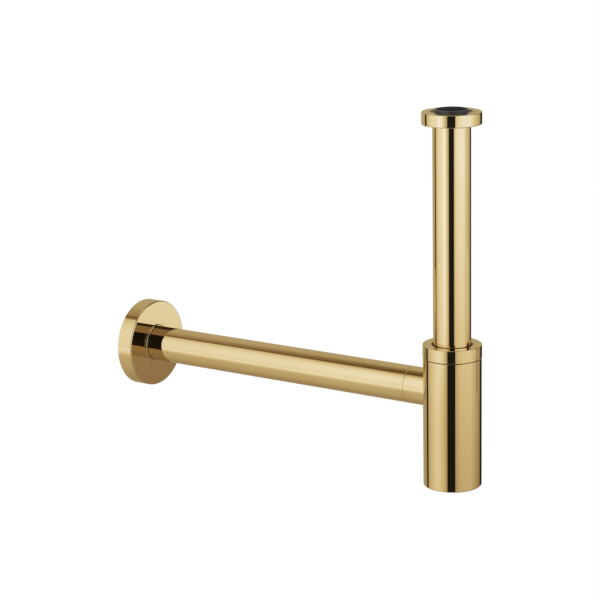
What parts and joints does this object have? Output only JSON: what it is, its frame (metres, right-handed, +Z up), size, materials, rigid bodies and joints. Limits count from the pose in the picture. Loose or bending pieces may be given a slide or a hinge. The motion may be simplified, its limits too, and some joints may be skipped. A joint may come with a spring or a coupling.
{
  "type": "sink trap",
  "caption": "Bottle trap for a wash basin in polished pale gold, with a slim telescopic inlet tube and union nut, a cylindrical bottle and a straight outlet tube with a round wall rosette.",
  "frame": {"origin": "on the outlet tube's axis, in the plane of the wall that the rosette lies against", "axes": "+Z up along the inlet tube and the bottle, +Y along the outlet tube into the wall, +X to the right of someone who faces the wall"},
  "size_m": [0.0792, 0.3688, 0.3231],
  "materials": {
    "polished_gold": "polished pale gold coating",
    "black_rubber": "matte black",
    "black_plastic": "matte black",
    "grey_plastic": "plain moulded"
  },
  "bodies": {
    "bottle": {"bottle_body": "polished_gold", "dip_tube": "grey_plastic", "outlet_tube": "polished_gold", "outlet_ring_inner": "black_rubber", "outlet_ring_outer": "black_rubber"},
    "seal": {"tube_seal": "black_rubber"},
    "inlet": {"inlet_tube": "polished_gold", "inlet_gasket": "black_rubber"},
    "nut_ring": {"union_nut_ring": "black_rubber"},
    "nut": {"union_nut": "polished_gold"},
    "washer": {"slip_washer": "black_plastic"},
    "clamp": {"clamp_nut": "polished_gold"},
    "rosette": {"wall_rosette": "polished_gold", "rosette_ring": "black_rubber"}
  },
  "joints": [
    {"name": "tube_swivel", "type": "hinge", "parent": "bottle", "child": "seal", "pos_m": [0, -0.3318, 0], "axis": [0, 0, 1], "continuous": true},
    {"name": "tube_height", "type": "slide", "parent": "seal", "child": "inlet", "axis": [0, 0, 1], "range_m": [-0.05, 0.025]},
    {"name": "nut_travel", "type": "slide", "parent": "inlet", "child": "nut_ring", "axis": [0, 0, 1], "range_m": [-0.12, 0.004]},
    {"name": "nut_spin", "type": "hinge", "parent": "nut_ring", "child": "nut", "pos_m": [0, -0.3318, 0], "axis": [0, 0, 1], "continuous": true},
    {"name": "clamp_lift", "type": "slide", "parent": "bottle", "child": "washer", "axis": [0, 0, 1], "range_m": [0, 0.0045]},
    {"name": "clamp_spin", "type": "hinge", "parent": "washer", "child": "clamp", "pos_m": [0, -0.3318, 0], "axis": [0, 0, 1], "range_deg": [0, 1080]},
    {"name": "rosette_slide", "type": "slide", "parent": "bottle", "child": "rosette", "axis": [0, 1, 0], "range_m": [-0.24, 0]}
  ],
  "couplings": [
    {"joint": "clamp_lift", "follows": "clamp_spin", "m_per_rad": 0.00023873}
  ]
}
